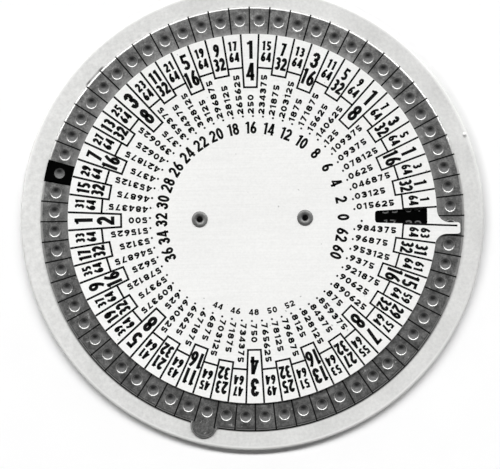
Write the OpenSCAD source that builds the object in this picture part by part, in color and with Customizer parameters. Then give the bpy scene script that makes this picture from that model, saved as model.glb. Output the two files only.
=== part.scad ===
// Circular adding machine for fractions of an inch, in millimetres.
// A wheel with 64 pressed dents turns between a stamped base and a fixed dial. A pointed
// tool in a dent drags the wheel round to the dial's finger stop, and the sum shows in
// the window. The dial faces +Z, the window lies towards +X, and the origin is on the
// wheel's axis, level with the foot of the base's rim.

/* [Base] */
// Outside diameter of the base
base_d = 156; // [154:0.5:170]
// Height of the base, from the foot of its rim to the flange
base_h = 2.2; // [2.1:0.1:6]
// Thickness of the base's sheet
base_t = 0.6; // [0.5:0.05:0.7]
// Outside radius of the bend from the flange down into the rim
bend_r = 0.8; // [0.8:0.1:1.6]
// Depth of the ring pressed into the base under the dents
channel_depth = 1.3; // [1.3:0.05:1.4]
// Width of that ring's floor
channel_floor = 4.6; // [4.4:0.1:5]

/* [Number wheel] */
// Diameter of the wheel
wheel_d = 142.8; // [142:0.1:144]
// Thickness of the wheel's sheet
wheel_t = 0.65; // [0.5:0.05:0.8]
// Number of dents round the wheel
cells = 64; // [16, 32, 64]
// Diameter of the circle through the dents
dent_pcd = 133.5; // [133:0.1:134]
// Diameter of a dent at the wheel's face
dent_d = 4.2; // [3.8:0.1:4.4]
// Depth of a dent
dent_depth = 1.45; // [1:0.05:1.45]
// Radius of the thumb tab on the wheel's edge
tab_r = 4.5; // [3.5:0.1:4.8]
// Radius of the fillet beside the tab
tab_fillet = 1.4; // [0.5:0.1:2]
// Cells by which the wheel stands turned from its zero
wheel_turn = 29.5; // [0:0.5:63.5]

/* [Dial] */
// Diameter of the dial
dial_d = 124.5; // [123:0.1:125]
// Thickness of the dial's sheet
dial_t = 0.7; // [0.4:0.05:0.8]
// Distance from the axis to the window's inner end
window_in = 41.3; // [38:0.1:44]
// Distance from the axis to the window's outer end
window_out = 58.9; // [55:0.1:60]
// Distance from the axis to the tip of the finger stop
stop_tip = 70; // [68:0.1:71]
// Width of the finger stop
stop_w = 3.84; // [3:0.02:5]
// Distance of the stop's upper edge below the line through window and axis
stop_drop = 2.29; // [1.8:0.01:2.8]
// Radius of the fillet between the dial and the stop's upper edge
stop_fillet_up = 4.4; // [2:0.1:5]
// Radius of the fillet between the dial and the stop's lower edge
stop_fillet_low = 3.9; // [2:0.1:5]

/* [Bearing and eyelets] */
// Diameter of the disc that the wheel turns on
bearing_d = 60; // [50:1:70]
// Play of the wheel round that disc, measured on the radius
bearing_play = 0.05; // [0.02:0.01:0.1]
// Play above and below the wheel
lift_play = 0.06; // [0.03:0.01:0.15]
// Distance between the two eyelets
eyelet_pitch = 35.5; // [20:0.5:40]
// Diameter of the eyelets' bore
eyelet_bore = 2; // [1.6:0.1:2.4]
// Diameter of the eyelets' rolled ends
eyelet_d = 5.4; // [4.6:0.1:6]
// Thickness of the eyelets' tube
eyelet_t = 0.3; // [0.25:0.05:0.35]

/* [Hidden] */

// Steps in each bend or rounding of a turned profile
bend_steps = 4;
// Facets of the large and the small round pieces
round_fn = 180;
small_fn = 40;

pitch = 360 / cells;
zero_angle = wheel_turn * pitch;
// The tab stands a quarter turn past the zero cell
tab_lead = 90;
tab_angle = zero_angle + tab_lead;

base_r = base_d / 2;
wheel_r = wheel_d / 2;
dial_r = dial_d / 2;
dent_r = dent_d / 2;
bearing_t = wheel_t + 2 * lift_play;
wheel_z = base_h + lift_play;
dial_z = base_h + bearing_t;
dial_top = dial_z + dial_t;

// The pressed ring: a flat floor between two slanted walls with rounded bends
channel_r = dent_pcd / 2;
channel_slope = 50;
channel_bend = 0.9;
channel_in = channel_r - channel_floor / 2;
channel_out = channel_r + channel_floor / 2;

// The dent: a bowl pressed by a ball, which meets a rounded shoulder at the wall's steepest
// place. bowl_z is the height of the ball's centre over the wheel's face, and dent_wall the
// thickness that the stretched sheet has left under the bowl
shoulder_r = 0.8;
shoulder_steps = 8;
wall_slope = 2 * atan(dent_depth / dent_r);
bowl_r = dent_r / sin(wall_slope) - shoulder_r;
bowl_z = bowl_r - dent_depth;
dent_wall = 0.35;

// The window: half the angle between its sides, and the radii of its corners
window_half = 2.75;
window_corner_in = 0.95;
window_corner_out = 0.6;

// The finger stop: the radius of its tip's corners, and how far its blank runs in
// under the dial's edge
stop_corner = 0.85;
stop_root = 4;
// How far a fillet runs into the edge that it meets, so that the outlines cross there
fillet_seat = 0.03;
// Radius of the wheel's rolled-over upper edge. The tab's fillet ends below that edge's top
wheel_edge_r = 0.45;
web_drop = 0.27;
web_t = wheel_t - web_drop;

// The eyelets: a rolled end stands this high above what it holds
roll_h = 0.55;
eyelet_play = 0.04;
cut = 1;

// Points along an arc round c, from angle a to angle b, wide and high as rx and ry
function arc(c, rx, ry, a, b, steps = bend_steps) =
    [for (i = [0:steps]) let (t = a + (b - a) * i / steps) c + [rx * cos(t), ry * sin(t)]];

// Half of the step from the flange down to the channel's floor, seen as a line that is
// lowered by d under the face: x is the foot of the wall, and s the side it falls from
function step_line(x, s, d) =
    let (r_low = channel_bend + d, r_high = channel_bend - d,
         run = channel_depth - (r_low + r_high) * (1 - cos(channel_slope)),
         top_x = x - s * ((r_low + r_high) * sin(channel_slope) + run / tan(channel_slope)))
    concat(
        [for (i = [0:bend_steps]) let (t = channel_slope * i / bend_steps)
            [top_x + s * r_high * sin(t), base_h - d - r_high * (1 - cos(t))]],
        [for (i = [bend_steps:-1:0]) let (t = channel_slope * i / bend_steps)
            [x - s * r_low * sin(t), base_h - channel_depth - d + r_low * (1 - cos(t))]]);

function reversed(v) = [for (i = [len(v) - 1:-1:0]) v[i]];

// Section of the base's sheet, from the axis out to the foot of the rim
module base_section() {
    face = concat([[0, base_h]], step_line(channel_in, 1, 0),
                  reversed(step_line(channel_out, -1, 0)),
                  arc([base_r - bend_r, base_h - bend_r], bend_r, bend_r, 90, 0),
                  [[base_r, 0]]);
    inner = bend_r - base_t;
    back = concat([[0, base_h - base_t]], step_line(channel_in, 1, base_t),
                  reversed(step_line(channel_out, -1, base_t)),
                  arc([base_r - bend_r, base_h - bend_r], inner, inner, 90, 0),
                  [[base_r - base_t, 0]]);
    polygon(concat(face, reversed(back)));
}

// Places its children at both eyelets
module at_eyelets() {
    for (side = [-1, 1])
        translate([side * eyelet_pitch / 2, 0, 0]) children();
}

module eyelet_holes(z, h) {
    at_eyelets()
        translate([0, 0, z - cut])
            cylinder(h = h + 2 * cut, r = eyelet_bore / 2 + eyelet_t + eyelet_play, $fn = small_fn);
}

module base_plate() {
    color("#dededa")
        difference() {
            rotate_extrude($fn = round_fn) base_section();
            eyelet_holes(base_h - base_t, base_t);
        }
}

module bearing_disc() {
    color("#c4c4c0")
        difference() {
            translate([0, 0, base_h]) cylinder(h = bearing_t, d = bearing_d, $fn = round_fn);
            eyelet_holes(base_h, bearing_t);
        }
}

// Disc whose upper edge is rolled over, with an optional hole
module rolled_disc(r, hole, fn) {
    rotate_extrude($fn = fn)
        polygon(concat([[hole, 0], [r, 0]],
                       arc([r - wheel_edge_r, wheel_t - wheel_edge_r],
                           wheel_edge_r, wheel_edge_r, 0, 90),
                       [[hole, wheel_t]]));
}

// What the punch presses out of the wheel's face; z = 0 is the face
module dent_hollow() {
    translate([0, 0, bowl_z]) sphere(r = bowl_r, $fn = small_fn);
    rotate_extrude($fn = small_fn)
        polygon(concat(
            [[0, cut], [dent_r, cut]],
            arc([dent_r, -shoulder_r], shoulder_r, shoulder_r, 90, 90 + wall_slope, shoulder_steps),
            [[0, bowl_z - bowl_r * cos(wall_slope)]]));
}

// The button that the punch pushes out below the wheel
module dent_button() {
    outer = bowl_r + dent_wall;
    low = dent_depth + dent_wall + cut;
    intersection() {
        translate([0, 0, bowl_z]) sphere(r = outer, $fn = small_fn);
        translate([0, 0, -low]) cylinder(h = low - wheel_t / 2, r = outer + cut, $fn = small_fn);
    }
}

// Fillet of radius f between the wheel's edge and the tab, on the tab's left side
module tab_web(f) {
    to_axis = wheel_r + f - fillet_seat;
    to_tab = tab_r + f - fillet_seat;
    swing = acos((to_axis * to_axis + wheel_r * wheel_r - to_tab * to_tab)
                 / (2 * to_axis * wheel_r));
    centre = to_axis * [cos(swing), sin(swing)];
    tab_centre = [wheel_r, 0];
    inner_r = wheel_r - wheel_edge_r;
    linear_extrude(web_t)
        difference() {
            polygon([inner_r * [cos(swing), sin(swing)], centre,
                     (tab_centre + centre) / 2, [inner_r, 0]]);
            translate(centre) circle(r = f, $fn = small_fn);
        }
}

// Places its children in every cell of the wheel, level with its face
module at_dents() {
    for (i = [0:cells - 1])
        rotate(zero_angle + i * pitch)
            translate([dent_pcd / 2, 0, wheel_t]) children();
}

module number_wheel() {
    color("#6e6e6e")
        translate([0, 0, wheel_z])
            difference() {
                union() {
                    rolled_disc(wheel_r, bearing_d / 2 + bearing_play, round_fn);
                    rotate(tab_angle) {
                        translate([wheel_r, 0, 0]) rolled_disc(tab_r, 0, 2 * small_fn);
                        tab_web(tab_fillet);
                    }
                    at_dents() dent_button();
                }
                at_dents() dent_hollow();
            }
}

// Window, with straight ends and rounded corners, between two radial lines
module window_outline() {
    a = window_corner_in;
    b = window_corner_out;
    side = 90 + window_half;
    // Corner centres lie one radius away from the end and from the radial side
    in_x = window_in + a;
    in_y = in_x * tan(window_half) - a / cos(window_half);
    out_x = window_out - b;
    out_y = out_x * tan(window_half) - b / cos(window_half);
    polygon(concat(
        arc([in_x, in_y], a, a, 180, side),
        arc([out_x, out_y], b, b, side, 0),
        arc([out_x, -out_y], b, b, 0, -side),
        arc([in_x, -in_y], a, a, -side, -180)));
}

// Centre of the fillet of radius f between the dial's edge and a level edge at height y;
// side is 1 for a fillet above that edge and -1 for one below it
function fillet_centre(y, side, f) =
    let (reach = dial_r + f - fillet_seat, rise = y + side * f)
    [sqrt(reach * reach - rise * rise), rise];

// The finger stop: a blank that flares into the dial, with its two fillets cut out
module stop_outline() {
    high = -stop_drop;
    low = high - stop_w;
    up = fillet_centre(high, 1, stop_fillet_up);
    down = fillet_centre(low, -1, stop_fillet_low);
    tip = stop_tip - stop_corner;
    difference() {
        polygon(concat(
            [[dial_r - stop_root, up[1]], up, [up[0], high]],
            arc([tip, high - stop_corner], stop_corner, stop_corner, 90, 0),
            arc([tip, low + stop_corner], stop_corner, stop_corner, 0, -90),
            [[down[0], low], down, [dial_r - stop_root, down[1]]]));
        translate(up) circle(r = stop_fillet_up, $fn = 2 * small_fn);
        translate(down) circle(r = stop_fillet_low, $fn = 2 * small_fn);
    }
}

module dial_plate() {
    color("#f6f6f4")
        difference() {
            translate([0, 0, dial_z]) {
                cylinder(h = dial_t, d = dial_d, $fn = round_fn);
                linear_extrude(dial_t) stop_outline();
            }
            translate([0, 0, dial_z - cut]) linear_extrude(dial_t + 2 * cut) window_outline();
            eyelet_holes(dial_z, dial_t);
        }
}

// Tube whose two ends are rolled outwards over the stack of base, disc and dial
module eyelet() {
    r_in = eyelet_bore / 2;
    roll_x = (r_in + eyelet_d / 2) / 2;
    roll_w = eyelet_d / 2 - roll_x;
    low = base_h - base_t;
    inner_w = roll_w - eyelet_t;
    inner_h = roll_h - eyelet_t;
    rotate_extrude($fn = small_fn)
        polygon(concat(
            arc([roll_x, dial_top], roll_w, roll_h, 180, 0, 2 * bend_steps),
            arc([roll_x, dial_top], inner_w, inner_h, 0, 180, 2 * bend_steps),
            arc([roll_x, low], inner_w, inner_h, 180, 360, 2 * bend_steps),
            arc([roll_x, low], roll_w, roll_h, 0, -180, 2 * bend_steps)));
}

module left_eyelet() {
    color("#8c8c8a") translate([-eyelet_pitch / 2, 0, 0]) eyelet();
}

module right_eyelet() {
    color("#8c8c8a") translate([eyelet_pitch / 2, 0, 0]) eyelet();
}

base_plate();
bearing_disc();
number_wheel();
dial_plate();
left_eyelet();
right_eyelet();
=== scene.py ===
import math
import bpy
import numpy as np
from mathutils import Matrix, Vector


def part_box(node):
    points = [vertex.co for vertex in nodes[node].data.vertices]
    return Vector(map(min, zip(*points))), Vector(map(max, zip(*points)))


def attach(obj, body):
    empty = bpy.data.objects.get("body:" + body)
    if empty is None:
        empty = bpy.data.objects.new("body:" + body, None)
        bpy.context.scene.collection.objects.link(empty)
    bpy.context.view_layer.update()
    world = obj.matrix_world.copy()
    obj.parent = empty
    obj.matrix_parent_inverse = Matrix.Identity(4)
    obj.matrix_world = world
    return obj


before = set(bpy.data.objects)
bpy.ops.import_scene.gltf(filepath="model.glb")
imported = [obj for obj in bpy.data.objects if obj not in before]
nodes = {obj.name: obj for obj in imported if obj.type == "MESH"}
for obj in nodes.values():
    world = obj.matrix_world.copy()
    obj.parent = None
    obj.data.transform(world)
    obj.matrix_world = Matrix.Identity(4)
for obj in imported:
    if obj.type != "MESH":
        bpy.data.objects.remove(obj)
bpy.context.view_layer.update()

mm = 0.001
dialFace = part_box("dial_plate")[1].z
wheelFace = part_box("number_wheel")[1].z


def addNode(tree, kind, inputs=None, **settings):
    # one node, its settings, and its inputs as numbers or as links
    made = tree.nodes.new(kind)
    for key, value in settings.items():
        setattr(made, key, value)
    for key, value in (inputs or {}).items():
        if isinstance(value, bpy.types.NodeSocket):
            tree.links.new(value, made.inputs[key])
        else:
            made.inputs[key].default_value = value
    return made


def startMaterial(name, **fixed):
    # a Principled material; what is the same all over goes on the shader's own sockets
    material = bpy.data.materials.new(name)
    material.use_nodes = True
    tree = material.node_tree
    tree.nodes.clear()
    shader = addNode(tree, "ShaderNodeBsdfPrincipled")
    for key, value in fixed.items():
        shader.inputs[key.replace("_", " ")].default_value = value
    addNode(tree, "ShaderNodeOutputMaterial", {"Surface": shader.outputs[0]})
    place = addNode(tree, "ShaderNodeTexCoord").outputs["Object"]
    return material, tree, shader, place


def noise(tree, place, scale, detail=2.0, rough=0.5, stretch=None):
    # grain whose scale is in cells per metre, times each axis's factor where stretch gives one
    if stretch:
        place = addNode(tree, "ShaderNodeMapping", {"Vector": place, "Scale": stretch}).outputs[0]
    return addNode(tree, "ShaderNodeTexNoise", {"Vector": place, "Scale": scale, "Detail": detail,
                                                "Roughness": rough}).outputs["Fac"]


def ramp(tree, value, low, high, toLow=0.0, toHigh=1.0, smooth=False):
    # value between low and high is carried to the span from toLow to toHigh
    return addNode(tree, "ShaderNodeMapRange",
                   {"Value": value, "From Min": low, "From Max": high, "To Min": toLow,
                    "To Max": toHigh}, interpolation_type="SMOOTHSTEP" if smooth else "LINEAR"
                   ).outputs["Result"]


wideSpan = (0.3, 0.7)  # takes in nearly all of a noise's values
tightSpan = (0.35, 0.65)  # cuts off both its ends


def wobble(tree, value, low, high, share):
    # a factor that lies up to that share either side of 1
    return ramp(tree, value, low, high, 1 - share, 1 + share)


def maths(tree, operation, a, b=0.0):
    return addNode(tree, "ShaderNodeMath", {0: a, 1: b}, operation=operation).outputs[0]


def times(tree, *factors):
    # the product of all the factors
    product = factors[0]
    for factor in factors[1:]:
        product = maths(tree, "MULTIPLY", product, factor)
    return product


def apart(tree, value, middle):
    # how far the value lies from the middle, either way
    return maths(tree, "ABSOLUTE", maths(tree, "SUBTRACT", value, middle))


def axes(tree, place):
    return addNode(tree, "ShaderNodeSeparateXYZ", {"Vector": place}).outputs


def blendColour(tree, factor, first, second):
    made = addNode(tree, "ShaderNodeMix", {"Factor": factor}, data_type="RGBA")
    for socket, value in ((made.inputs[6], first), (made.inputs[7], second)):
        if isinstance(value, bpy.types.NodeSocket):
            tree.links.new(value, socket)
        else:
            socket.default_value = (*value, 1)
    return made.outputs[2]


def scaled(tree, colour, factor):
    return addNode(tree, "ShaderNodeVectorMath", {0: colour, "Scale": factor},
                   operation="SCALE").outputs[0]


def distance(tree, place, point):
    return addNode(tree, "ShaderNodeVectorMath", {0: place, 1: point},
                   operation="DISTANCE").outputs["Value"]


def flatPlace(tree, place):
    # the place without its height
    return addNode(tree, "ShaderNodeVectorMath", {0: place, 1: (1, 1, 0)},
                   operation="MULTIPLY").outputs[0]


def axisDistance(tree, place):
    return distance(tree, flatPlace(tree, place), (0, 0, 0))


def grey(level):
    # a grey that is slightly warm
    return (level, level, level * 0.985)


def bump(tree, shader, height, depth, strength=1.0, under=None):
    # relief on the shader's normal, laid over an earlier one where that is given
    made = addNode(tree, "ShaderNodeBump", {"Height": height, "Distance": depth,
                                            "Strength": strength})
    if under:
        tree.links.new(under, made.inputs["Normal"])
    tree.links.new(made.outputs[0], shader.inputs["Normal"])
    return made.outputs[0]


print("stage: camera, lamps and floor")

# The photograph is a flat scan: 500 x 469 pixels, square on, with the dial turned a little
scan = dict(pixel=0.3369 * mm, wide=500, high=469, dialX=252.42, dialY=218.55,
            turn=math.radians(0.87), height=0.4)


def addCamera():
    # looks straight down; the picture's middle lies beside the dial's axis
    data = bpy.data.cameras.new("scanCamera")
    data.type = "ORTHO"
    data.ortho_scale = scan["wide"] * scan["pixel"]
    camera = bpy.data.objects.new("scanCamera", data)
    bpy.context.collection.objects.link(camera)
    right = (scan["wide"] / 2 - scan["dialX"]) * scan["pixel"]
    up = (scan["dialY"] - scan["high"] / 2) * scan["pixel"]
    c, s = math.cos(-scan["turn"]), math.sin(-scan["turn"])
    camera.location = (c * right - s * up, s * right + c * up, scan["height"])
    camera.rotation_euler = (0, 0, -scan["turn"])
    bpy.context.scene.camera = camera


# One long bar lamp on the +Y side, as under a scanner's glass, in a room with pale walls, the
# one on the -Y side darker, and a dim ceiling; the walls run down past the floor's edge
studio = dict(distance=12.0, elevation=48, barLong=36.0, barWide=2.4, barPower=3660.0,
              ceiling=0.05, wallTop=12, wallFade=22, farWall=0.92, farTurn=(-0.6, 0.2),
              floorSize=1.6, floorWhite=0.99, floorGrain=0.01, rimShade=0.2, shadeSlant=0.6,
              shadeWay=(5 * mm, 45 * mm), shadeStart=(77 * mm, 77.8 * mm),
              shadeEnd=(78 * mm, 81.5 * mm))


def addLamps():
    data = bpy.data.lights.new("barLamp", "AREA")
    data.shape = "RECTANGLE"
    data.size = studio["barLong"]
    data.size_y = studio["barWide"]
    data.energy = studio["barPower"]
    lamp = bpy.data.objects.new("barLamp", data)
    bpy.context.collection.objects.link(lamp)
    tilt = math.radians(studio["elevation"])
    lamp.location = (0, studio["distance"] * math.cos(tilt), studio["distance"] * math.sin(tilt))
    lamp.rotation_euler = (tilt - math.pi / 2, 0, 0)
    world = bpy.data.worlds.new("paleRoom")
    bpy.context.scene.world = world
    world.use_nodes = True
    tree = world.node_tree
    tree.nodes.clear()
    way = axes(tree, addNode(tree, "ShaderNodeTexCoord").outputs["Generated"])
    wall = [math.sin(math.radians(studio[key])) for key in ("wallTop", "wallFade")]
    near = ramp(tree, way["Y"], *studio["farTurn"], studio["farWall"], 1.0, smooth=True)
    light = ramp(tree, way["Z"], *wall, near, studio["ceiling"], smooth=True)
    room = addNode(tree, "ShaderNodeBackground", {"Strength": light})
    addNode(tree, "ShaderNodeOutputWorld", {"Surface": room.outputs[0]})


def addFloor():
    half = studio["floorSize"] / 2
    mesh = bpy.data.meshes.new("floor")
    mesh.from_pydata([(-half, -half, 0), (half, -half, 0), (half, half, 0), (-half, half, 0)],
                     [], [(0, 1, 2, 3)])
    floor = bpy.data.objects.new("floor", mesh)
    bpy.context.collection.objects.link(floor)
    material, tree, shader, place = startMaterial("paleFloor", Roughness=0.9, Specular_IOR_Level=0.1)
    tone = ramp(tree, noise(tree, place, 60.0), *wideSpan)
    white = studio["floorWhite"]
    base = blendColour(tree, tone, (white - studio["floorGrain"],) * 3, (white,) * 3)
    # painted shade: the floor is darkened along the rim, towards +Y and +X
    sides = axes(tree, place)
    way = maths(tree, "ADD", times(tree, sides["X"], studio["shadeSlant"]), sides["Y"])
    radius = axisDistance(tree, place)
    shade = times(tree, ramp(tree, way, *studio["shadeWay"]),
                  ramp(tree, radius, *studio["shadeEnd"], studio["rimShade"], 0.0, smooth=True),
                  ramp(tree, radius, *studio["shadeStart"]))
    base = scaled(tree, base, maths(tree, "SUBTRACT", 1.0, shade))
    tree.links.new(base, shader.inputs["Base Color"])
    mesh.materials.append(material)


addCamera()
addLamps()
addFloor()

print("stage: materials")

whiteEnamelLook = dict(level=0.886, streak=0.06, grain=0.028, slant=(-0.8, -0.6), paler=0.06,
                       palerSpan=(10 * mm, 60 * mm), speck=0.55, speckCut=(0.775, 0.80),
                       roughness=0.4)


def whiteEnamel():
    # faint streaks along X, fine grain and a few specks; paler along the slant, to -X and -Y
    material, tree, shader, place = startMaterial("whiteEnamel", Specular_IOR_Level=0.35)
    look = whiteEnamelLook
    streaks = noise(tree, place, 40.0, 3.0, 0.6, stretch=(1.0, 45.0, 1.0))
    cloud = noise(tree, place, 35.0, 3.0)
    tone = maths(tree, "ADD", ramp(tree, streaks, *tightSpan, 0.0, 0.6),
                 ramp(tree, cloud, *tightSpan, 0.0, 0.4))
    half = look["streak"] / 2
    base = blendColour(tree, tone, grey(look["level"] - half), grey(look["level"] + half))
    base = scaled(tree, base, wobble(tree, noise(tree, place, 1500.0, 1.0), *wideSpan, look["grain"]))
    sides = axes(tree, place)
    slant = maths(tree, "ADD", times(tree, sides["X"], look["slant"][0]),
                  times(tree, sides["Y"], look["slant"][1]))
    base = scaled(tree, base, ramp(tree, slant, *look["palerSpan"], 1.0, 1 + look["paler"]))
    specks = ramp(tree, noise(tree, place, 620.0, 1.0), *look["speckCut"])
    base = blendColour(tree, specks, base, grey(look["speck"]))
    tree.links.new(base, shader.inputs["Base Color"])
    tree.links.new(ramp(tree, cloud, *wideSpan, look["roughness"] - 0.06, look["roughness"] + 0.08),
                   shader.inputs["Roughness"])
    bump(tree, shader, noise(tree, place, 900.0, 2.0), 0.02 * mm, 0.25)
    return material


greyEnamelLook = dict(
    printed=0.088, palerGrey=0.160, palingSpan=(-50 * mm, 75 * mm), uneven=0.45, grit=0.3,
    roughness=0.5,
    # the worn circle, the nicks, and the painted light beside the dial
    scratch=0.34, wearRadius=64.3 * mm, wearWidth=0.9 * mm, wearShare=0.5, nickShare=0.7,
    bounceLight=0.3, bounceShare=0.5, bounceRing=(62.4 * mm, 64.8 * mm), bounceSpan=(-45 * mm, 30 * mm),
    # the dents, by depth: a bare shoulder, then thin print; the zero cell's dent is inked
    bareFrom=(0.005 * mm, 0.02 * mm), bareDepth=0.18 * mm, bareFade=0.1 * mm, bareLow=0.4,
    bareHigh=0.54, bareRoughness=0.38, bowlFrom=0.5 * mm, bowlTo=1.4 * mm, bowlRim=0.24,
    bowlFoot=0.12, bowlMetal=0.2, bowlRoughness=0.5,
    inkedDent=(-64.75 * mm, 16.2 * mm, 3 * mm), inkedRing=(2.6 * mm, 2.8 * mm),
    # the wheel's edge: bare above, painted shade below, and how it rolls over
    edgeFrom=70.75 * mm, edgeWidth=0.3 * mm, edgeRagged=0.3 * mm, edgeBare=0.62,
    edgeSpan=(-38 * mm, 8 * mm), edgeShade=0.025, edgeShadeRing=(70.7 * mm, 70.95 * mm),
    edgeShadeSpan=(-20 * mm, -45 * mm), rollFrom=70.6 * mm, rollReach=0.5 * mm, rollFall=360.0,
    # the tab and the painted highlight on it
    tab=(-17.35 * mm, -69.26 * mm, 0), tabReach=4.9 * mm, tabEdge=0.3 * mm, arcAt=3.55 * mm,
    arcWidth=0.3 * mm, arcShare=0.5, arc=0.2, arcSpan=(-71.3 * mm, -72.0 * mm))


def greyEnamel():
    # the print is paler towards +Y, is worn on one circle, is thin down the dents' walls, and is
    # rubbed off their shoulders and the wheel's edge, where bare metal shows; light is painted beside
    # the dial and on the tab, and shade on the wheel's lower edge
    material, tree, shader, place = startMaterial("greyEnamel", Specular_IOR_Level=0.25)
    look = greyEnamelLook
    radius = axisDistance(tree, place)
    upward = axes(tree, place)["Y"]
    below = maths(tree, "SUBTRACT", wheelFace, axes(tree, place)["Z"])
    mottle = noise(tree, place, 420.0, 4.0, 0.7)
    paling = maths(tree, "ADD", ramp(tree, upward, *look["palingSpan"]),
                 ramp(tree, noise(tree, place, 55.0, 2.0), *tightSpan, -0.08, 0.12))
    base = blendColour(tree, paling, grey(look["printed"]), grey(look["palerGrey"]))
    grit = wobble(tree, noise(tree, place, 1900.0, 1.0), *wideSpan, look["grit"])
    streaks = noise(tree, place, 260.0, 3.0, 0.7, stretch=(1.0, 0.12, 1.0))
    base = scaled(tree, base, times(tree, wobble(tree, mottle, *tightSpan, look["uneven"]), grit,
                                    wobble(tree, streaks, *wideSpan, look["uneven"] / 2)))
    ring = ramp(tree, apart(tree, radius, look["wearRadius"]), 0.0, look["wearWidth"], 1.0, 0.0,
                smooth=True)
    worn = times(tree, ring, ramp(tree, noise(tree, place, 95.0, 3.0, 0.6), 0.52, 0.72),
                 look["wearShare"])
    base = blendColour(tree, worn, base, grey(look["scratch"]))
    nicks = times(tree, ramp(tree, noise(tree, place, 800.0, 1.0), 0.68, 0.74),
                  ramp(tree, noise(tree, place, 70.0, 1.0), 0.42, 0.55), look["nickShare"])
    base = blendColour(tree, nicks, base, grey(look["scratch"]))
    # painted light: paler print beside the dial's edge, strongest towards +Y, stands in for light
    # thrown back from the white dial
    bounceLight = times(tree, ramp(tree, upward, *look["bounceSpan"]),
                 ramp(tree, radius, *look["bounceRing"], look["bounceShare"], 0.0, smooth=True))
    base = blendColour(tree, bounceLight, base, grey(look["bounceLight"]))
    inBowl = ramp(tree, below, look["bareDepth"], look["bowlFrom"])
    bowl = ramp(tree, below, look["bowlFrom"], look["bowlTo"], look["bowlRim"], look["bowlFoot"])
    base = blendColour(tree, inBowl, base, bowl)
    # painted shade darkens the lower half's edge, except where the tab leaves it
    fromTab = distance(tree, flatPlace(tree, place), look["tab"])
    offTab = ramp(tree, fromTab, look["tabReach"], look["tabReach"] + look["tabEdge"])
    edgeShade = times(tree, ramp(tree, upward, *look["edgeShadeSpan"]),
                  ramp(tree, radius, *look["edgeShadeRing"]), offTab)
    base = blendColour(tree, edgeShade, base, grey(look["edgeShade"]))
    # painted highlight: a paler arc just inside the tab's lower rim
    arc = ramp(tree, apart(tree, fromTab, look["arcAt"]), 0.0, look["arcWidth"], look["arcShare"],
               0.0)
    arc = times(tree, arc, ramp(tree, upward, *look["arcSpan"]))
    base = blendColour(tree, arc, base, grey(look["arc"]))
    # bare metal, paler on the edge than on the dents' shoulders
    shoulder = times(tree, ramp(tree, below, *look["bareFrom"]),
                     ramp(tree, below, look["bareDepth"] - look["bareFade"], look["bareDepth"],
                          1.0, 0.0),
                     ramp(tree, distance(tree, place, look["inkedDent"]), *look["inkedRing"]))
    # the edge shows bare metal only towards +Y; below, it keeps the print, as painted shade
    outside = ramp(tree, maths(tree, "ADD", radius, times(tree, mottle, look["edgeRagged"])),
                   look["edgeFrom"], look["edgeFrom"] + look["edgeWidth"])
    bare = maths(tree, "MAXIMUM", shoulder,
                 times(tree, outside, ramp(tree, upward, *look["edgeSpan"])))
    metal = blendColour(tree, mottle, grey(look["bareLow"]), grey(look["bareHigh"]))
    metal = blendColour(tree, outside, metal, grey(look["edgeBare"]))
    base = blendColour(tree, bare, base, metal)
    tree.links.new(base, shader.inputs["Base Color"])
    metallic = maths(tree, "MAXIMUM", bare, times(tree, inBowl, look["bowlMetal"]))
    tree.links.new(metallic, shader.inputs["Metallic"])
    satin = ramp(tree, mottle, *wideSpan, look["roughness"] - 0.05, look["roughness"] + 0.1)
    satin = ramp(tree, inBowl, 0.0, 1.0, satin, look["bowlRoughness"])
    tree.links.new(ramp(tree, bare, 0.0, 1.0, satin, look["bareRoughness"]),
                   shader.inputs["Roughness"])
    # near the edge the face falls as the square of the way past rollFrom
    past = ramp(tree, radius, look["rollFrom"], look["rollFrom"] + look["rollReach"],
                0.0, look["rollReach"])
    past = times(tree, past, offTab)
    grain = bump(tree, shader, mottle, 0.03 * mm, 0.3)
    bump(tree, shader, times(tree, past, past, -look["rollFall"]), 1.0, 1.0, grain)
    return material


flangeLook = dict(
    low=0.64, high=0.86, roughness=0.7, pale=0.82, paleShare=0.75, paleSpan=(-76 * mm, -40 * mm),
    fleck=0.075, fleckSpan=(-60 * mm, 10 * mm), faceTop=(2.1 * mm, 2.15 * mm),
    # the rubbed streak: dark round two spots, fainter between them
    smudges=((-54.4 * mm, 46.6 * mm, 0), (-50.4 * mm, 51.0 * mm, 0)), smudge=0.12,
    smudgeAt=71.7 * mm, smudgeWidth=(0.15 * mm, 0.55 * mm), spotShare=0.9,
    spotRing=(0.6 * mm, 1.8 * mm), streakShare=0.5, streakRing=(5.5 * mm, 7.0 * mm),
    # the bend, with painted light at the bottom and at the top, and the painted shadow beside the
    # wheel
    lowerSpan=(-15 * mm, -50 * mm), bend=0.88, bendRing=(76.7 * mm, 77.2 * mm),
    topSpan=(0.0, 25 * mm), top=0.9, topShare=0.5, topRing=(76.6 * mm, 77.1 * mm),
    wheelShadow=0.06, wheelShadowRing=(71.65 * mm, 72.1 * mm),
    # the burr, with painted shade on its dark side and a painted glint on its bright one
    burr=(71.85 * mm, 27.2 * mm, 0), burrReach=0.8 * mm, burrHeight=0.2 * mm,
    burrShade=(71.95 * mm, 26.75 * mm, 0), shade=0.35, shadeShare=0.7,
    shadeRing=(0.3 * mm, 0.8 * mm), burrGlint=(71.8 * mm, 27.65 * mm, 0), glint=1.0,
    glintRing=(0.25 * mm, 0.6 * mm),
    rim=0.7, rimRing=(77.0 * mm, 77.2 * mm), rimTop=(1.6 * mm, 1.95 * mm))


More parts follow.
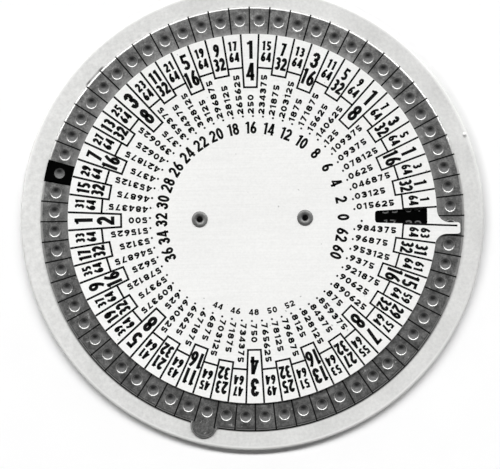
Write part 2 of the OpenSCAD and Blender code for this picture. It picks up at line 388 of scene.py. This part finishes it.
def flangeAluminium():
    # satin metal, paler and more flecked towards -X, with a streak and a burr; light and shade are
    # painted on the burr, the bend, the rim's side and beside the wheel
    material, tree, shader, place = startMaterial("satinAluminium", Metallic=0.35,
                                                  Specular_IOR_Level=0.2)
    look = flangeLook
    sides = axes(tree, place)
    radius = axisDistance(tree, place)
    flat = flatPlace(tree, place)
    grain = noise(tree, place, 900.0, 3.0, 0.6)
    cloud = noise(tree, place, 60.0, 3.0)
    tone = maths(tree, "ADD", ramp(tree, grain, *wideSpan, 0.0, 0.5),
                 ramp(tree, cloud, *wideSpan, 0.0, 0.5))
    base = blendColour(tree, tone, grey(look["low"]), grey(look["high"]))
    pale = ramp(tree, sides["X"], *look["paleSpan"], look["paleShare"], 0.0, smooth=True)
    base = blendColour(tree, pale, base, grey(look["pale"]))
    fleck = ramp(tree, noise(tree, place, 650.0, 2.0, 0.6), *wideSpan, -1.0, 1.0)
    amount = ramp(tree, sides["X"], *look["fleckSpan"], look["fleck"], 0.0)
    base = scaled(tree, base, maths(tree, "ADD", times(tree, fleck, amount), 1.0))
    upSide = ramp(tree, sides["Z"], *look["faceTop"])
    near = [distance(tree, flat, spot) for spot in look["smudges"]]
    spots = ramp(tree, maths(tree, "MINIMUM", *near), *look["spotRing"], look["spotShare"], 0.0)
    streak = ramp(tree, maths(tree, "MAXIMUM", *near), *look["streakRing"], look["streakShare"], 0.0)
    across = ramp(tree, apart(tree, radius, look["smudgeAt"]), *look["smudgeWidth"], 1.0, 0.0)
    smudge = times(tree, maths(tree, "MAXIMUM", spots, streak), across, upSide)
    base = blendColour(tree, smudge, base, grey(look["smudge"]))
    lower = ramp(tree, sides["Y"], *look["lowerSpan"])
    # painted light: the bend is paler at the bottom and at the top
    bend = times(tree, lower, ramp(tree, radius, *look["bendRing"]))
    base = blendColour(tree, bend, base, grey(look["bend"]))
    top = times(tree, ramp(tree, sides["Y"], *look["topSpan"]),
                ramp(tree, radius, *look["topRing"], 0.0, look["topShare"]))
    base = blendColour(tree, top, base, grey(look["top"]))
    # painted shadow: a dark line on the flange beside the wheel's lower edge
    wheelShadow = times(tree, lower, ramp(tree, radius, *look["wheelShadowRing"], 1.0, 0.0), upSide)
    base = blendColour(tree, wheelShadow, base, grey(look["wheelShadow"]))
    # painted shade and a painted glint beside the burr
    shade = ramp(tree, distance(tree, flat, look["burrShade"]), *look["shadeRing"],
                 look["shadeShare"], 0.0)
    base = blendColour(tree, times(tree, shade, upSide), base, grey(look["shade"]))
    glint = ramp(tree, distance(tree, flat, look["burrGlint"]), *look["glintRing"], 1.0, 0.0)
    base = blendColour(tree, times(tree, glint, upSide), base, grey(look["glint"]))
    # painted shade: the rim's side is a little darker down towards the floor
    rim = times(tree, ramp(tree, radius, *look["rimRing"]),
                ramp(tree, sides["Z"], *look["rimTop"], 1.0, 0.0))
    base = blendColour(tree, rim, base, grey(look["rim"]))
    tree.links.new(base, shader.inputs["Base Color"])
    tree.links.new(ramp(tree, grain, *wideSpan, look["roughness"] - 0.05, look["roughness"] + 0.08),
                   shader.inputs["Roughness"])
    fine = bump(tree, shader, grain, 0.02 * mm, 0.35)
    burr = ramp(tree, distance(tree, flat, look["burr"]), 0.0, look["burrReach"],
                look["burrHeight"], 0.0, smooth=True)
    bump(tree, shader, burr, 1.0, 1.0, fine)
    return material


bearingLook = dict(low=0.55, high=0.68, roughness=(0.3, 0.45))


def bearingAluminium():
    # mill finish, with its lay along X
    material, tree, shader, place = startMaterial("millAluminium", Metallic=1.0)
    look = bearingLook
    lay = noise(tree, place, 300.0, 3.0, 0.6, stretch=(1.0, 14.0, 1.0))
    tree.links.new(blendColour(tree, lay, grey(look["low"]), grey(look["high"])),
                   shader.inputs["Base Color"])
    tree.links.new(ramp(tree, lay, *wideSpan, *look["roughness"]), shader.inputs["Roughness"])
    bump(tree, shader, lay, 0.01 * mm, 0.4)
    return material


eyeletLook = dict(low=0.15, high=0.27, boreShade=0.008, boreShadeDepth=(0.55 * mm, 0.15 * mm),
                  roughness=(0.45, 0.6))


def eyeletMetal():
    # dull metal, darkened down the bore by painted shade
    material, tree, shader, place = startMaterial("dullNickel", Metallic=0.6)
    look = eyeletLook
    grain = noise(tree, place, 1500.0, 3.0, 0.6)
    tone = times(tree, grain, noise(tree, place, 350.0, 2.0))
    base = blendColour(tree, ramp(tree, tone, 0.12, 0.4), grey(look["low"]), grey(look["high"]))
    deep, shallow = look["boreShadeDepth"]
    boreShade = ramp(tree, axes(tree, place)["Z"], dialFace - deep, dialFace - shallow, 1.0, 0.0)
    base = blendColour(tree, boreShade, base, grey(look["boreShade"]))
    tree.links.new(base, shader.inputs["Base Color"])
    tree.links.new(ramp(tree, grain, *wideSpan, *look["roughness"]), shader.inputs["Roughness"])
    bump(tree, shader, grain, 0.01 * mm, 0.4)
    return material


# Each ink's level where it lies thick, how much paler it is where it lies thin, and its finish
inks = dict(blackInk=dict(level=0.004, thin=0.006, roughness=0.7, gloss=0.06),
            cellInk=dict(level=0.0008, thin=0.001, roughness=0.8, gloss=0.01),
            paleInk=dict(level=0.10, thin=0.05, roughness=0.7, gloss=0.06))


def printInk(name):
    # a thin film of matt ink with slightly uneven cover
    look = inks[name]
    material, tree, shader, place = startMaterial(name, Specular_IOR_Level=look["gloss"])
    cover = noise(tree, place, 800.0, 3.0, 0.6)
    tree.links.new(blendColour(tree, ramp(tree, cover, 0.3, 0.75), (look["level"],) * 3,
                               (look["level"] + look["thin"],) * 3), shader.inputs["Base Color"])
    tree.links.new(ramp(tree, cover, *wideSpan, look["roughness"] - 0.08, look["roughness"] + 0.08),
                   shader.inputs["Roughness"])
    bump(tree, shader, cover, 0.005 * mm, 0.3)
    return material


def dress(name, material):
    for slot in nodes[name].material_slots:
        slot.material = material


dress("base_plate", flangeAluminium())
dress("bearing_disc", bearingAluminium())
dress("number_wheel", greyEnamel())
dress("dial_plate", whiteEnamel())
nickel = eyeletMetal()
dress("left_eyelet", nickel)
dress("right_eyelet", nickel)
blackInk = printInk("blackInk")
cellInk = printInk("cellInk")
paleInk = printInk("paleInk")

print("stage: figures")


def ellipseArc(cx, cy, rx, ry, start, end, steps):
    # points at even angles, in degrees, on an ellipse round (cx, cy)
    t = np.radians(np.linspace(start, end, steps + 1))
    return np.stack([cx + rx * np.cos(t), cy + ry * np.sin(t)], axis=1)


def bentLine(a, b, c, steps):
    # quadratic curve from a to c that leans towards b
    t = np.linspace(0, 1, steps + 1)[:, None]
    a, b, c = np.array(a), np.array(b), np.array(c)
    return (1 - t) ** 2 * a + 2 * t * (1 - t) * b + t ** 2 * c


def penStroke(points, pen, closed=False):
    # sides: half the pen, square to the mean of the two neighbouring directions, and longer at
    # a bend, as in a mitre
    points = np.array(points, float)
    if closed:
        ahead = np.roll(points, -1, 0) - points
        behind = np.roll(ahead, 1, 0)
    else:
        ahead = np.diff(points, axis=0)
        ahead, behind = np.vstack([ahead, ahead[-1:]]), np.vstack([ahead[:1], ahead])
    ahead = ahead / np.linalg.norm(ahead, axis=1)[:, None]
    behind = behind / np.linalg.norm(behind, axis=1)[:, None]
    along = ahead + behind
    along /= np.linalg.norm(along, axis=1)[:, None]
    spread = np.clip((along * ahead).sum(1), 0.5, 1)[:, None]
    sides = np.stack([-along[:, 1], along[:, 0]], axis=1) * pen / 2 / spread
    return points, sides, closed


def levelStroke(a, b, pen):
    # a straight stroke with both ends cut level: half the pen, times its length over its fall,
    # goes to either side
    a, b = np.array(a, float), np.array(b, float)
    fall = a[1] - b[1]
    wide = pen / 2 * np.linalg.norm(b - a) / fall
    return np.array([a, b]), np.array([[wide, 0.0], [wide, 0.0]]), False


def roundDot(x, y, radius, steps=6):
    # a disc: a path through its middle along the cosine, with the sine as its half width
    t = np.linspace(0.12, 0.88, steps + 1) * math.pi
    points = np.stack([x - radius * np.cos(t), np.full_like(t, y)], axis=1)
    return points, np.stack([np.zeros_like(t), radius * np.sin(t)], axis=1), False


def turnedOver(strokes, wide, high):
    # half a turn about the middle of the figure's box
    return [(np.array([wide, high]) - p, -s, c) for p, s, c in strokes]


def figureStrokes(figure, wide, high, pen, steps):
    # the strokes of one figure that fills a box from (0, 0) to (wide, high); the numbers are
    # shares of the box or of the pen, and degrees
    half = pen / 2
    mid = wide / 2
    rx = mid - half
    if figure == "0":
        loop = ellipseArc(mid, high / 2, rx, high / 2 - half, 90, 450, 2 * steps)[:-1]
        return [penStroke(loop, pen, True)]
    if figure == "1":
        stem = wide - half
        return [levelStroke((stem, high), (stem, 0), pen),
                penStroke([(0, high - 0.95 * pen), (stem, high - 0.36 * pen)], 0.72 * pen)]
    if figure == "2":
        ry = 0.28 * high - half / 2
        top = ellipseArc(mid, high - half - ry, rx, ry, 172, -28, steps)
        path = np.vstack([top, [(0.62 * half + 0.06 * wide, 0.6 * pen)]])
        return [penStroke(path, pen), penStroke([(0, half), (wide, half)], pen)]
    if figure == "3":
        span = (high - pen) / 2
        up, low = 0.46 * span, 0.54 * span
        join = high - half - 2 * up
        start = 152
        if wide > 2.3 * pen:
            start, pen = 178, 1.07 * pen
        top = ellipseArc(mid, join + up, rx * 0.95, up, start, -90, steps)
        top = np.vstack([top, [(0.34 * wide, join)]])
        foot = ellipseArc(mid, join - low, rx, low, 90, -start, steps)
        return [penStroke(top, pen), penStroke(foot, pen)]
    if figure == "4":
        stem = 0.72 * wide
        bar = 0.27 * high
        return [levelStroke((stem, high), (stem, 0), pen),
                penStroke([(0, bar), (wide, bar)], 0.82 * pen),
                levelStroke((stem - 0.12 * pen, high), (0.5 * pen, bar), 0.8 * pen)]
    if figure == "5":
        low = (0.62 * high - pen) / 2
        left = 0.12 * wide + half * 0.8
        bowl = ellipseArc(mid, low + half, rx, low, 143, -150, steps + 3)
        return [penStroke([(left - half * 0.8, high - half), (0.94 * wide, high - half)], pen),
                levelStroke((left + 0.03 * wide, high), (left - 0.04 * wide, 0.5 * high), 0.85 * pen),
                penStroke(bowl, pen)]
    if figure == "6":
        low = (0.62 * high - pen) / 2
        loop = ellipseArc(mid, low + half, rx, low, 90, 450, 2 * steps)[:-1]
        arm = bentLine((0.76 * wide, high - 0.3 * half), (0.30 * wide, 0.74 * high),
                       (half, low + half), steps // 2 + 1)
        return [penStroke(loop, pen, True), penStroke(arm, pen)]
    if figure == "7":
        lean = levelStroke((wide - 0.56 * pen, high), (0.38 * wide, 0), pen)
        bar = high - 0.43 * pen
        return [penStroke([(0.1 * wide, bar), (wide - 0.28 * pen, bar)], 0.86 * pen), lean]
    if figure == "8":
        span = (high - pen) / 2
        up, low = 0.46 * span, 0.54 * span
        top = ellipseArc(mid, high - half - up, rx * 0.88, up, 90, 450, 2 * steps - 2)[:-1]
        foot = ellipseArc(mid, half + low, rx, low, 90, 450, 2 * steps)[:-1]
        return [penStroke(top, pen, True), penStroke(foot, pen, True)]
    return turnedOver(figureStrokes("6", wide, high, pen, steps), wide, high)  # a "9"


def rowLayout(text, style, stretch=1.0):
    # each figure's width and left side, and the row's length; a "1" is narrower than the rest
    # and stands a little apart
    widths = [style["narrow" if figure == "1" else "wide"] * stretch for figure in text]
    gaps = [style["gap"] + style.get("side", 0) * ((a == "1") + (b == "1"))
            for a, b in zip(text, text[1:])]
    lefts = np.cumsum([0] + [w + g for w, g in zip(widths, gaps)])
    return widths, lefts, lefts[-1] + widths[-1]


def lineStrokes(text, style, high, stretch=1.0):
    # the strokes of a row of figures, centred on x = 0 and standing on y = 0
    widths, lefts, length = rowLayout(text, style, stretch)
    strokes = []
    for figure, wide, left in zip(text, widths, lefts):
        for points, sides, closed in figureStrokes(figure, wide, high, style["pen"], style["steps"]):
            strokes.append((points + (left - length / 2, 0), sides, closed))
    return strokes


def placed(strokes, origin, right, up):
    # carries strokes from the flat page to a place and two directions on the dial
    turn = np.array([right, up])
    return [(p @ turn + origin, s @ turn, c) for p, s, c in strokes]


def tubeFaces(rings, around, closed):
    # quads of a profile with that many points, carried through that many rings
    i = np.arange(rings if closed else rings - 1)[:, None]
    k = np.arange(around)[None, :]
    here, there = i * around, (i + 1) % rings * around
    after = (k + 1) % around
    faces = np.stack([here + k, here + after, there + after, there + k], axis=-1).reshape(-1, 4)
    if closed:
        return faces
    c = np.arange(around // 2 - 1)
    cap = np.stack([c, c + 1, around - 2 - c, around - 1 - c], axis=1)
    return np.vstack([faces, cap[:, ::-1], cap + (rings - 1) * around])


def filmParts(strokes, low, high):
    # each stroke becomes a closed film: its two sides at two heights, carried along its path
    parts = []
    for points, sides, closed in strokes:
        left, right = points + sides, points - sides
        corners = np.stack([left, right, right, left], axis=1)
        heights = np.broadcast_to(np.array([high, high, low, low])[None, :, None],
                                  (len(points), 4, 1))
        verts = np.concatenate([corners, heights], axis=2).reshape(-1, 3)
        parts.append((verts, tubeFaces(len(points), 4, closed)))
    return parts


def buildPiece(name, parts, material, body):
    # joins parts, each with its vertices and quads, into one flat-shaded mesh on a CAD body
    starts = np.cumsum([0] + [len(v) for v, f in parts[:-1]])
    verts = np.vstack([v for v, f in parts])
    faces = np.vstack([f + s for (v, f), s in zip(parts, starts)])
    mesh = bpy.data.meshes.new(name)
    mesh.vertices.add(len(verts))
    mesh.vertices.foreach_set("co", verts.astype(np.float32).ravel())
    mesh.loops.add(faces.size)
    mesh.loops.foreach_set("vertex_index", faces.astype(np.int32).ravel())
    mesh.polygons.add(len(faces))
    mesh.polygons.foreach_set("loop_start", np.arange(0, faces.size, 4, dtype=np.int32))
    mesh.polygons.foreach_set("use_smooth", np.zeros(len(faces), bool))
    mesh.update(calc_edges=True)
    mesh.validate()
    mesh.materials.append(material)
    piece = bpy.data.objects.new(name, mesh)
    bpy.context.collection.objects.link(piece)
    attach(piece, body)
    print("made", name, len(faces), "faces")


film = dict(over=0.02 * mm, under=0.01 * mm)  # how far print stands over, and sinks into, its face
dialFilm = dict(low=dialFace - film["under"], high=dialFace + film["over"])
wheelFilm = dict(low=wheelFace - film["under"], high=wheelFace + film["over"])


def rayAndLeft(angle):
    # the outward direction at an angle, in degrees, and the direction square to its left
    a = math.radians(angle)
    return np.array([math.cos(a), math.sin(a)]), np.array([-math.sin(a), math.cos(a)])


cellPitch = 360 / 64
# Fractions by the size of their denominator: where the two figures lie, and their pen
fractionStyles = {
    8: dict(outer=(53.80, 59.97), inner=(46.49, 52.50), wide=2.84, narrow=1.85, gap=0.23,
            side=0.0, pen=1.16, close=44.30, steps=8, alone=1.0),
    16: dict(outer=(54.60, 59.98), inner=(48.46, 53.92), wide=2.42, narrow=1.32, gap=0.2,
             side=0.34, pen=1.03, close=46.49, steps=8, alone=1.1),
    32: dict(outer=(55.62, 60.0), inner=(50.74, 55.12), wide=1.94, narrow=1.2, gap=0.13,
             side=0.25, pen=0.92, close=48.80, steps=7, alone=1.05),
    64: dict(outer=(56.80, 60.0), inner=(52.99, 56.20), wide=1.62, narrow=1.0, gap=0.14,
             side=0.24, pen=0.76, close=50.91, steps=6, alone=1.0),
}
# The print is a little heavier on the -X side: pens and lines grow there by this share
dialPrint = dict(edge=62.2, line=0.64, stopLineEnd=69.1, heavier=0.05)


def reduced(k):
    # k 64ths in lowest terms
    common = math.gcd(k, 64)
    return k // common, 64 // common


def styleOf(k):
    return fractionStyles[max(8, reduced(k)[1])] if k % 64 else None


def inMetres(style):
    # the same style with its lengths in metres
    lengths = ("wide", "narrow", "gap", "side", "pen", "high")
    return {key: value * mm if key in lengths else value for key, value in style.items()}


def dialLines():
    # a line between every two cells, and a short one that closes each cell's box
    strokes = []
    for k in range(64):
        here = styleOf(k)
        after = styleOf((k + 1) % 64)
        start = min(s["close"] for s in (here, after) if s) - dialPrint["line"] / 2
        end = dialPrint["stopLineEnd"] if k == 63 else dialPrint["edge"]
        ray = rayAndLeft((k + 0.5) * cellPitch)[0]
        line = dialPrint["line"] * mm * (1 - dialPrint["heavier"] * ray[0])
        strokes.append(penStroke([ray * start * mm, ray * end * mm], line))
        if here:
            rays = [rayAndLeft((k + side) * cellPitch)[0] for side in (-0.5, 0.5)]
            strokes.append(penStroke([ray * here["close"] * mm for ray in rays], line))
    return filmParts(strokes, **dialFilm)


def dialFractions():
    # numerator outside, denominator inside, both with their tops outwards
    strokes = []
    for k in range(1, 64):
        raw = styleOf(k)
        style = inMetres(raw)
        ray, left = rayAndLeft(k * cellPitch)
        style["pen"] *= 1 - dialPrint["heavier"] * ray[0]
        for text, (low, high) in zip(map(str, reduced(k)), (raw["outer"], raw["inner"])):
            stretch = raw["alone"] if len(text) == 1 else 1.0
            row = lineStrokes(text, style, (high - low) * mm, stretch)
            strokes += placed(row, ray * low * mm, -left, ray)
    return filmParts(strokes, **dialFilm)


decimalStyle = dict(wide=1.89, narrow=1.04, gap=0.395, side=0.13, pen=0.58, steps=7, high=2.12,
                    firstAt=35.28, dotAt=34.5, dotDrop=0.7, dotRadius=0.37, strayAt=36.8,
                    strayDrop=1.35, strayRadius=0.407)


def dialDecimals():
    # each 64th as a decimal that reads outwards along its ray, and a stray dot at zero
    style = inMetres(decimalStyle)
    strokes = []
    for k in range(1, 64):
        figures = str(k / 64)[2:]
        if k % 16 == 0:
            figures = figures.ljust(3, "0")  # the quarters have three figures too
        ray, left = rayAndLeft(k * cellPitch)
        row = lineStrokes(figures, style, style["high"])
        length = rowLayout(figures, style)[2]
        middle = ray * (style["firstAt"] * mm + length / 2) - left * style["high"] / 2
        strokes += placed(row, middle, ray, left)
        dot = [roundDot(0, 0, style["dotRadius"] * mm)]
        corner = ray * style["dotAt"] * mm - left * style["dotDrop"] * mm
        strokes += placed(dot, corner, ray, left)
    ray, left = rayAndLeft(0)
    dot = [roundDot(0, 0, style["strayRadius"] * mm)]
    corner = ray * style["strayAt"] * mm - left * style["strayDrop"] * mm
    strokes += placed(dot, corner, ray, left)
    return filmParts(strokes, **dialFilm)


# Plain counts of 64ths: bold over the top and at the sides, light and upright at the bottom
boldCounts = dict(wide=2.15, narrow=1.3, gap=0.28, pen=0.8, steps=8, high=4.04, at=28.64,
                  first=-4, last=36)
lightCounts = dict(wide=1.55, narrow=0.85, gap=0.3, pen=0.5, steps=7, high=2.05, at=30.5,
                   first=44, last=52)


def dialCounts():
    # every second count on its ray: bold ones with their tops outwards, light ones inwards
    strokes = []
    bold, light = inMetres(boldCounts), inMetres(lightCounts)
    for k in range(bold["first"], bold["last"] + 1, 2):
        ray, left = rayAndLeft(k * cellPitch)
        row = lineStrokes(str(k % 64), bold, bold["high"])
        strokes += placed(row, ray * bold["at"] * mm, -left, ray)
    for k in range(light["first"], light["last"] + 1, 2):
        ray, left = rayAndLeft(k * cellPitch)
        row = lineStrokes(str(k), light, light["high"])
        strokes += placed(row, ray * (light["at"] * mm + light["high"]), left, -ray)
    return filmParts(strokes, **dialFilm)


buildPiece("dial_lines", dialLines(), blackInk, "base")
buildPiece("dial_fractions", dialFractions(), blackInk, "base")
buildPiece("dial_decimals", dialDecimals(), blackInk, "base")
buildPiece("dial_counts", dialCounts(), blackInk, "base")

print("stage: wheel print")

wheelPrint = dict(zeroCell=29.5, edge=71.4, roll=0.45, thick=0.65, footGap=0.04, inner=61.6,
                  line=0.485, tabLine=16, tabLineEnd=71.85, dentAt=66.75, dentRadius=2.1,
                  shoulder=0.8, inkReach=1.77, spokes=60, shoulderRings=5, bandIn=38.0,
                  bandOut=60.4, bandStep=2.5)
zeroAngle = wheelPrint["zeroCell"] * cellPitch


def edgeProfile(start, steps=6):
    # radius, height and outward normal from a radius on the face, over the roll as a quarter
    # circle, and straight down the side to just short of its foot
    roll, edge = wheelPrint["roll"], wheelPrint["edge"]
    foot = wheelPrint["footGap"] - wheelPrint["thick"]
    t = np.radians(np.linspace(90, 0, steps + 1))
    r = np.concatenate([[start], edge - roll + roll * np.cos(t), [edge]])
    z = np.concatenate([[0.0], roll * (np.sin(t) - 1), [foot]])
    nr = np.concatenate([[0.0], np.cos(t), [1.0]])
    nz = np.concatenate([[1.0], np.sin(t), [0.0]])
    return r * mm, z * mm, nr, nz


def edgeBand(angle, halfAngle, halfWidth, start, across=1):
    # film over the wheel's edge: the profile swept to half an angle either side, and on by the
    # arcsine of half a width over the radius
    r, z, nr, nz = edgeProfile(start)
    share = np.linspace(1, -1, across + 1)
    layers = []
    for lift in (film["over"], -film["under"]):
        rr = (r + nr * lift)[:, None]
        zz = (z + nz * lift)[:, None] + wheelFace + 0 * share
        turn = share * (math.radians(halfAngle) + np.arcsin(halfWidth / rr))
        a = math.radians(angle) + turn
        layers.append(np.stack([rr * np.cos(a), rr * np.sin(a), zz], axis=2))
    ring = np.concatenate([layers[0], layers[1][:, ::-1]], axis=1)
    return ring.reshape(-1, 3), tubeFaces(len(r), 2 * (across + 1), False)


def wheelDividers():
    # flat strips to where the roll begins, and bands from there over the wheel's edge
    flatEdge = wheelPrint["edge"] - wheelPrint["roll"]
    strips, bands = [], []
    for k in range(64):
        angle = zeroAngle + (k + 0.5) * cellPitch
        ray = rayAndLeft(angle)[0]
        end = wheelPrint["tabLineEnd"] if k == wheelPrint["tabLine"] else flatEdge
        ends = [ray * r * mm for r in (wheelPrint["inner"], end)]
        strips.append(penStroke(ends, wheelPrint["line"] * mm))
        bands.append(edgeBand(angle, 0, wheelPrint["line"] / 2 * mm, flatEdge))
    return filmParts(strips, **wheelFilm) + bands


def zeroCell():
    # black film over one cell, as rings round its dent: up the dent's shoulder, where a tilt's
    # sine gives the way in from the dent's edge and its cosine the drop, and out along each
    # spoke to the nearer of the cell's ends and sides
    look = wheelPrint
    flatEdge = look["edge"] - look["roll"]
    slope = math.tan(math.radians(cellPitch / 2))
    allowance = look["line"] / 2
    inX, outX = look["inner"] - look["dentAt"], flatEdge - look["dentAt"]
    corners = [math.atan2(side * ((look["dentAt"] + x) * slope + allowance), x)
               for x in (inX, outX) for side in (-1, 1)]
    spokes = np.linspace(-math.pi, math.pi, look["spokes"], endpoint=False)
    turn = np.sort(np.concatenate([spokes, corners]))
    cosT, sinT = np.cos(turn), np.sin(turn)
    tiny = 1e-9  # keeps the two divisions off zero
    toEnds = np.where(cosT > 0, outX, inX) / np.where(np.abs(cosT) < tiny, tiny, cosT)
    toSides = (look["dentAt"] * slope + allowance) / np.maximum(np.abs(sinT) - slope * cosT, tiny)
    reach = np.minimum(toEnds, toSides)
    steepest = math.asin((look["dentRadius"] - look["inkReach"]) / look["shoulder"])
    tilt = np.linspace(steepest, 0, look["shoulderRings"])
    near = look["dentRadius"] - look["shoulder"] * np.sin(tilt)
    radii = np.vstack([np.broadcast_to(near[:, None], (len(near), len(turn))),
                       (near[-1] + reach)[None] / 2, reach[None]])
    tilt = np.concatenate([tilt, [0, 0]])
    drop = look["shoulder"] * (1 - np.cos(tilt))
    middle, left = rayAndLeft(zeroAngle)
    layers = []
    for lift in (film["over"], -film["under"]):
        inward = (radii - np.sin(tilt)[:, None] * lift / mm) * mm
        outward = look["dentAt"] * mm + inward * cosT
        flat = outward[..., None] * middle + (inward * sinT)[..., None] * left
        height = wheelFace - drop * mm + np.cos(tilt) * lift
        layers.append(np.concatenate([flat, np.broadcast_to(height[:, None, None],
                                                            (*inward.shape, 1))], axis=2))
    rings = np.concatenate([layers[0], layers[1][::-1]], axis=0).transpose(1, 0, 2)
    patch = (rings.reshape(-1, 3), tubeFaces(len(turn), rings.shape[1], True))
    rim = edgeBand(zeroAngle, cellPitch / 2, allowance * mm, flatEdge, 8)
    return [patch, rim]


def numberBand():
    # the black ring that the window shows, all the way round the wheel: at each angle a point
    # on its middle circle, and half its width either way
    t = np.radians(np.arange(0, 360, wheelPrint["bandStep"]))
    ray = np.stack([np.cos(t), np.sin(t)], axis=1)
    middle = (wheelPrint["bandIn"] + wheelPrint["bandOut"]) / 2 * mm
    half = (wheelPrint["bandOut"] - wheelPrint["bandIn"]) / 2 * mm
    return filmParts([(ray * middle, -ray * half, True)], **wheelFilm)


bandStyle = dict(wide=2.36, narrow=1.1, gap=0.72, pen=0.48, steps=7, high=2.45,
                 numeratorAt=46.4, denominatorAt=54.2)


def bandNumbers():
    # the sum at each position in lowest terms, reading outwards, on top of the black ring
    style = inMetres(bandStyle)
    strokes = []
    for k in range(64):
        top, under = reduced(k) if k else (0, 64)
        ray, left = rayAndLeft(zeroAngle + k * cellPitch)
        for value, at in ((top, bandStyle["numeratorAt"]), (under, bandStyle["denominatorAt"])):
            row = lineStrokes(str(value), style, style["high"])
            strokes += placed(row, ray * at * mm - left * style["high"] / 2, ray, left)
    return filmParts(strokes, wheelFace, wheelFace + 2 * film["over"])


buildPiece("wheel_dividers", wheelDividers(), blackInk, "wheel")
buildPiece("zero_cell", zeroCell(), cellInk, "wheel")
buildPiece("number_band", numberBand(), cellInk, "wheel")
buildPiece("band_numbers", bandNumbers(), paleInk, "wheel")

view = bpy.context.scene.view_settings
view.view_transform = "Standard"
bpy.context.view_layer.update()
